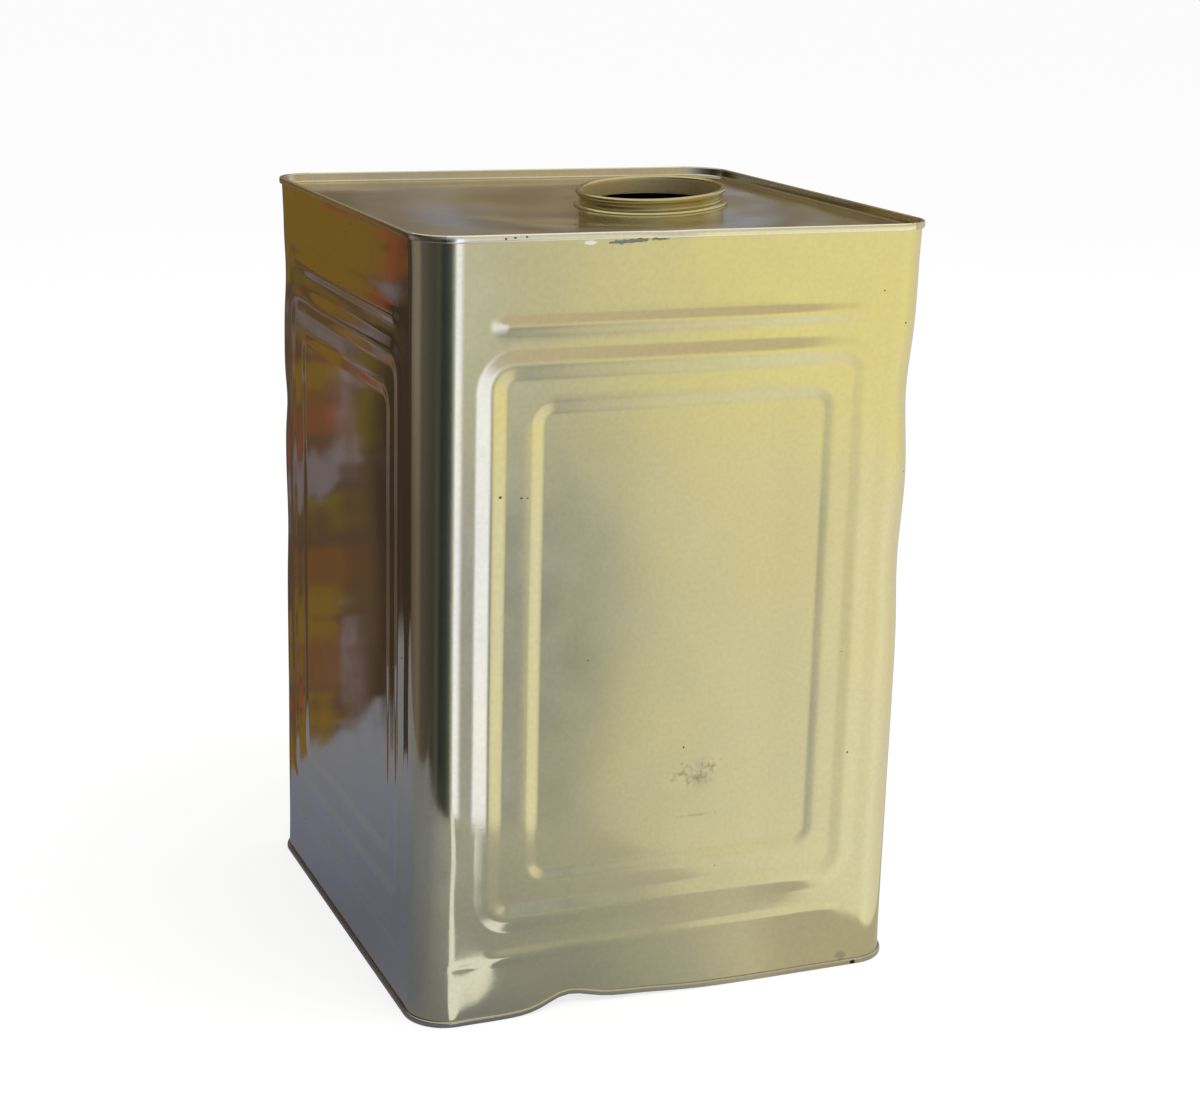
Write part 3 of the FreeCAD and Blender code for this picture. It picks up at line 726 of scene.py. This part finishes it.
# ---------------------------------------------------------------- surroundings in the metal
# Plain cards stand round the tin for its metal to reflect: they light nothing, and only
# reflections see them.  The first is a ring round it all, the open room that it stands in.
# Its colours low, level and high, each at its degrees from the front towards the tin's left.
low_ring = [
    (-180, (0.10, 0.08, 0.08)), (-145, (0.30, 0.30, 0.32)), (-120, (0.80, 0.76, 0.66)),
    (-45, (1.05, 1.05, 1.0)),
    (-31.6, (1.0, 1.0, 0.90)), (-27.6, (0.92, 0.91, 0.80)), (-22.4, (0.82, 0.82, 0.72)),
    (-20.3, (0.62, 0.63, 0.61)), (-18.2, (0.42, 0.44, 0.48)), (-16.3, (0.36, 0.40, 0.47)),
    (-14, (0.40, 0.44, 0.54)), (-9.5, (0.75, 0.8, 1.1)), (-6.5, (1.18, 1.24, 1.95)), (3, (1.3, 1.42, 2.0)),
    (8, (0.5, 0.55, 0.65)), (15, (0.10, 0.12, 0.14)), (24, (0.045, 0.06, 0.075)),
    (40, (0.03, 0.035, 0.04)), (48, (0.10, 0.095, 0.10)), (58, (0.06, 0.055, 0.06)),
    (92, (0.10, 0.09, 0.095)), (105, (0.20, 0.16, 0.15)), (130, (0.14, 0.11, 0.10)),
    (142, (0.04, 0.03, 0.03)), (180, (0.10, 0.08, 0.08)),
]
level_ring = [
    (-180, (0.20, 0.17, 0.17)), (-150, (0.30, 0.29, 0.33)), (-120, (0.80, 0.76, 0.62)),
    (-60, (1.08, 1.03, 0.64)), (-31.6, (1.05, 0.99, 0.62)), (-27.6, (1.07, 1.03, 0.60)),
    (-25, (0.98, 0.95, 0.60)), (-20.3, (0.89, 0.87, 0.62)), (-17.5, (0.70, 0.71, 0.68)),
    (-14, (0.64, 0.67, 0.70)), (-10, (0.85, 0.88, 0.95)),
    (-6.5, (1.18, 1.24, 1.95)), (3, (1.3, 1.42, 2.0)), (8, (0.5, 0.55, 0.65)),
    (15, (0.10, 0.12, 0.14)), (24, (0.045, 0.06, 0.075)), (36, (0.03, 0.04, 0.045)),
    (45, (0.085, 0.085, 0.09)), (58, (0.075, 0.07, 0.08)), (92, (0.12, 0.115, 0.13)),
    (104, (0.25, 0.23, 0.24)), (126, (0.22, 0.20, 0.21)), (140, (0.04, 0.03, 0.033)),
    (180, (0.20, 0.17, 0.17)),
]
high_ring = [
    (-180, (0.10, 0.075, 0.05)), (-168.5, (0.13, 0.10, 0.085)), (-165.5, (0.20, 0.17, 0.13)),
    (-163.7, (0.235, 0.24, 0.29)), (-161.9, (0.20, 0.184, 0.17)), (-160.4, (0.22, 0.18, 0.14)),
    (-159.2, (0.33, 0.29, 0.27)), (-157.8, (0.16, 0.145, 0.155)), (-155.4, (0.195, 0.19, 0.20)),
    (-154, (0.33, 0.355, 0.45)), (-152.5, (0.27, 0.28, 0.31)), (-151, (0.30, 0.34, 0.40)),
    (-149, (0.22, 0.21, 0.20)), (-146, (0.26, 0.22, 0.17)), (-120, (0.80, 0.80, 0.90)),
    (-85, (0.83, 0.84, 0.95)), (-66, (0.66, 0.58, 0.42)), (-28, (0.74, 0.65, 0.52)),
    (-8, (0.64, 0.60, 0.60)), (6, (0.50, 0.56, 0.70)), (24, (0.36, 0.40, 0.52)),
    (38, (0.24, 0.27, 0.38)), (62, (0.12, 0.12, 0.16)), (90, (0.045, 0.042, 0.045)),
    (180, (0.10, 0.075, 0.05)),
]
ring_sides, ring_radius, ring_bottom, ring_top = 96, 1.5, -1.6, 1.4
front_first = math.radians(-90)              # turns a card so that its own x axis is the front
ring_places, ring_faces = [], []
for i in range(ring_sides):
    angle = i / ring_sides * 2 * math.pi
    for height in (ring_bottom, ring_top):
        ring_places.append((ring_radius * math.cos(angle), ring_radius * math.sin(angle), height))
    here, there = 2 * i, 2 * ((i + 1) % ring_sides)
    ring_faces.append((here, there, there + 1, here + 1))
ring = stage_mesh("surrounding_card", ring_places, ring_faces)
ring.rotation_euler.z = front_first


def glowing_card(card, name, paint):
    """Make a card that only reflections see glow with a colour, or with what paint works out."""
    card.visible_camera = False
    card.visible_diffuse = False
    card.visible_shadow = False
    card.visible_transmission = False
    card.visible_volume_scatter = False
    material = bare_material(name)
    tree = material.node_tree
    where = tree.nodes.new("ShaderNodeTexCoord").outputs["Object"]
    glow = tree.nodes.new("ShaderNodeEmission")
    feed(tree, paint(tree, where) if callable(paint) else paint, glow.inputs["Color"])
    feed(tree, glow.outputs[0], tree.nodes["Material Output"].inputs["Surface"])
    card.data.materials.append(material)


def colours_round(tree, where, stops):
    """Colours that turn into one another round the tin."""
    around = laid_on(tree, where, "ShaderNodeTexGradient", gradient_type="RADIAL")
    tones = tree.nodes.new("ShaderNodeValToRGB")
    elements = tones.color_ramp.elements
    stops = sorted((0.5 - degrees / 360, colour) for degrees, colour in stops)
    while len(elements) < len(stops):
        elements.new(0.5)
    # All are placed before any is coloured, because placing puts them in a new order.
    for element, (place, colour) in zip(elements, stops):
        element.position = place
    for element, (place, colour) in zip(elements, stops):
        element.color = (*colour, 1)
    feed(tree, around.outputs["Fac"], tones.inputs["Fac"])
    return tones.outputs["Color"]


def ring_paint(tree, where):
    """The three bands one over another, with cloudy patches high up behind the tin."""
    parts = tree.nodes.new("ShaderNodeSeparateXYZ")
    feed(tree, where, parts.inputs[0])
    height = parts.outputs["Z"]
    low, level, high = (colours_round(tree, where, stops) for stops in (low_ring, level_ring, high_ring))
    lower = mixed(tree, spread(tree, height, -0.16, 0.04), low, level)
    cloud = laid_on(tree, where, "ShaderNodeTexNoise", Scale=9.0, Detail=2.0, Distortion=0.6)
    patches = spread(tree, cloud.outputs["Fac"], 0.40, 0.56)
    patchy = mixed(tree, patches, (0.75, 0.66, 0.52), (1.25, 1.25, 1.32))
    behind = spread(tree, parts.outputs["X"], -0.6, -1.1)
    topmost = worked_out(tree, "MULTIPLY", spread(tree, height, 0.51, 0.57), behind)
    high = mixed(tree, topmost, high, (0.28, 0.24, 0.165))
    high = mixed(tree, behind, high, mixed(tree, 1.0, high, patchy, blend_type="MULTIPLY"))
    return mixed(tree, spread(tree, height, 0.20, 0.34), lower, high)


glowing_card(ring, "surrounding card", ring_paint)


# ---------------------------------------------------------------- table in the metal
# The table that the tin stands on, which ends not far from it, with a strip of light that
# falls across it at the corner nearest the viewer.  Its grey is partly painted shadow: its edge before the
# tin follows the tin's shadow.
table_and_shadow_outline = [(-0.44, 0.40), (-0.44, -0.22), (-0.24, -0.315), (-0.09, -0.345), (0.0, -0.335),
                 (0.047, -0.30), (0.081, -0.229), (0.125, -0.162), (0.17, -0.09), (0.40, 0.15), (0.40, 0.40)]
table_level, strip_level = 0.2 * mm, 0.6 * mm
table = stage_mesh("table_card", [(-y, x, 0) for x, y in table_and_shadow_outline],
                   [tuple(range(len(table_and_shadow_outline)))])
table.rotation_euler.z = front_first
table.location.z = table_level
# Its colours far from the tin, and the painted shade they are multiplied by close to it, by degrees as
# above.
table_ring = [
    (-180, (0.20, 0.21, 0.28)), (-120, (0.45, 0.45, 0.42)), (-60, (0.56, 0.54, 0.48)),
    (-28, (0.58, 0.565, 0.51)), (-21, (0.68, 0.67, 0.62)), (-10, (0.54, 0.55, 0.54)),
    (10, (0.44, 0.465, 0.50)),
    (36, (0.36, 0.38, 0.46)), (56, (0.24, 0.26, 0.36)), (90, (0.22, 0.24, 0.34)),
    (130, (0.24, 0.26, 0.38)), (180, (0.20, 0.21, 0.28)),
]
close_shade_ring = [
    (-180, (0.62, 0.64, 0.72)), (-120, (0.8, 0.8, 0.8)), (-40, (1.0, 0.99, 0.97)),
    (-10, (0.98, 0.98, 0.98)), (40, (0.62, 0.64, 0.72)), (180, (0.62, 0.64, 0.72)),
]


def table_and_shade_paint(tree, where):
    """The table's colours, darkened by painted shade as the tin comes near."""
    away = node(tree, "ShaderNodeVectorMath", operation="LENGTH")
    feed(tree, where, away.inputs[0])
    # Darker close to the tin: the tin's painted shadow on the table.
    shade_near_tin = spread(tree, away.outputs["Value"], 0.32, 0.12)
    far_tones, close_shade_tones = (colours_round(tree, where, stops) for stops in (table_ring, close_shade_ring))
    return mixed(tree, shade_near_tin, far_tones, close_shade_tones, blend_type="MULTIPLY")


glowing_card(table, "table card with painted shadow", table_and_shade_paint)

strip_outline = [(-0.1035, -0.124), (-0.1005, -0.124), (-0.052, -0.176), (-0.088, -0.188),
                 (-0.087, -0.36), (-0.126, -0.36)]
strip = stage_mesh("light_strip", [(x, y, strip_level) for x, y in strip_outline],
                   [tuple(range(len(strip_outline)))])
glowing_card(strip, "light strip", (1.0, 1.05, 1.25))


# ---------------------------------------------------------------- shelf in the metal
# Packets on a shelf beyond the tin's back left corner, and some that lie on the table before it.
# Each is a slanting patch: how far along the shelf, how high, half its width and height, all in
# millimetres, its slant, and its colour.
ochre, olive, red = (0.20, 0.125, 0.03), (0.15, 0.11, 0.032), (0.235, 0.075, 0.045)
lilac, pale_lilac, russet = (0.185, 0.155, 0.20), (0.24, 0.195, 0.265), (0.165, 0.082, 0.042)
brown, dim = (0.105, 0.068, 0.050), (0.048, 0.034, 0.026)
packets = [
    (65, 300, 65, 32, 0.0, ochre), (5, 288, 9, 15, 0.3, red), (42, 309, 22, 3, 0.12, red),
    (18, 269, 20, 6, -0.05, lilac), (84, 278, 24, 6, 0.25, brown), (32, 262, 30, 2, 0.22, dim),
    (68, 266, 38, 4, 0.16, russet), (60, 260, 46, 3.5, 0.2, olive), (66, 254, 40, 5, 0.12, brown),
    (82, 247, 22, 6, 0.35, lilac), (18, 247, 16, 3, 0.1, olive), (25, 239, 18, 4, 0.15, lilac),
    (38, 240, 7, 2.5, 0.1, red), (50, 232, 12, 8, 0.4, lilac), (26, 227, 15, 6, 0.15, olive),
    (38, 216, 18, 4, 0.25, pale_lilac), (76, 233, 20, 4, 0.35, ochre), (88, 224, 14, 9, 0.3, brown),
    (56, 222, 8, 5, 0.2, red), (78, 205, 26, 14, -0.15, ochre), (78, 184, 26, 14, -0.75, russet),
    (61, 189, 9, 8, -0.6, red), (90, 166, 12, 6, -0.8, red), (70, 154, 44, 14, -0.62, lilac),
    (47, 192, 5, 28, 0.0, pale_lilac), (32, 193, 10, 22, -0.3, olive), (36, 148, 13, 24, -0.8, brown),
    (60, 133, 13, 12, -0.3, olive), (68, 128, 5, 4, 0.0, russet), (86, 108, 22, 14, -0.6, brown),
    (62, 99, 20, 13, -0.2, russet), (58, 80, 12, 8, 0.0, olive), (82, 52, 26, 24, -0.6, ochre),
    (68, 38, 16, 17, -0.5, russet), (92, 10, 14, 9, -0.5, red), (46, 44, 5, 32, 0.0, pale_lilac),
    (31, 60, 9, 60, 0.0, brown), (84, -16, 24, 26, -0.8, ochre), (96, -22, 8, 22, -0.6, russet),
]
shelf_start, shelf_end = Vector((-0.2157, 0.2237, 0)), Vector((-0.1696, 0.3153, 0))
shelf_way = (shelf_end - shelf_start).normalized()
shelf_length, shelf_height, shelf_step = (shelf_end - shelf_start).length, 0.34, 2 * mm
shelf_overhang = 50 * mm                     # how far the card runs on past both ends
packet_edge, edge_wave, edge_wave_height = 0.1, 9 * mm, 0.5
shelf_dim, packet_dim, dim_width = 32 * mm, 30 * mm, 20 * mm
packet_shade, shade_top, shade_width = 0.65, 270 * mm, 50 * mm


def shelf_colour(along, height):
    """The colour at a place on the shelf, which is dim towards its near end."""
    colour = Vector(brown).lerp(Vector(dim), ramp(shelf_dim - along, dim_width))
    shaded = ramp(packet_dim - along, dim_width) * ramp(shade_top - height, shade_width)
    wave = edge_wave_height * noise.noise(Vector((along, height, 0)) / edge_wave)
    for middle, level, half_along, half_up, slant, tone in packets:
        side = (along / mm - middle) / half_along
        up = (height / mm - level - slant * (along / mm - middle)) / half_up
        edge = 1 - max(abs(side), abs(up)) + wave
        colour = colour.lerp(Vector(tone) * (1.0 - packet_shade * shaded), ramp(edge, packet_edge))
    return colour


# The card's lower edge sinks along the shelf, and what would be under the table is folded out
# on to it, towards the tin.
edge_level, edge_sink, edge_flat, edge_lowest = 30 * mm, 0.9, 18 * mm, -50 * mm
edge_start, edge_rise = 2 * mm, 12 * mm
toward_tin, fold_reach, above_table = Vector((0.38, -0.92, 0)), 3.5, 0.5 * mm
columns_along = round((shelf_length + 2 * shelf_overhang) / shelf_step)
rows_up = round(shelf_height / shelf_step)
shelf_places, shelf_faces, shelf_tones = [], [], []
for row in range(rows_up + 1):
    for column in range(columns_along + 1):
        along = column * shelf_step - shelf_overhang
        sunk = max(edge_level - edge_sink * max(along - edge_flat, 0), edge_lowest)
        lower_edge = sunk * ramp(along - edge_start, edge_rise)
        height = lower_edge + (shelf_height - lower_edge) * row / rows_up
        place = shelf_start + shelf_way * along + toward_tin * max(-height, 0) * fold_reach
        shelf_places.append(place + Vector((0, 0, max(height, above_table))))
        shelf_tones += [*shelf_colour(along, height), 1.0]
        if row and column:
            at = row * (columns_along + 1) + column
            shelf_faces.append((at, at - 1, at - columns_along - 2, at - columns_along - 1))
shelf = stage_mesh("shelf_card", shelf_places, shelf_faces)
shelf.data.color_attributes.new("tone", "FLOAT_COLOR", "POINT").data.foreach_set("color", shelf_tones)


def shelf_paint(tree, where):
    """The colours kept with the shelf's places."""
    return node(tree, "ShaderNodeVertexColor", layer_name="tone").outputs["Color"]


glowing_card(shelf, "shelf card", shelf_paint)
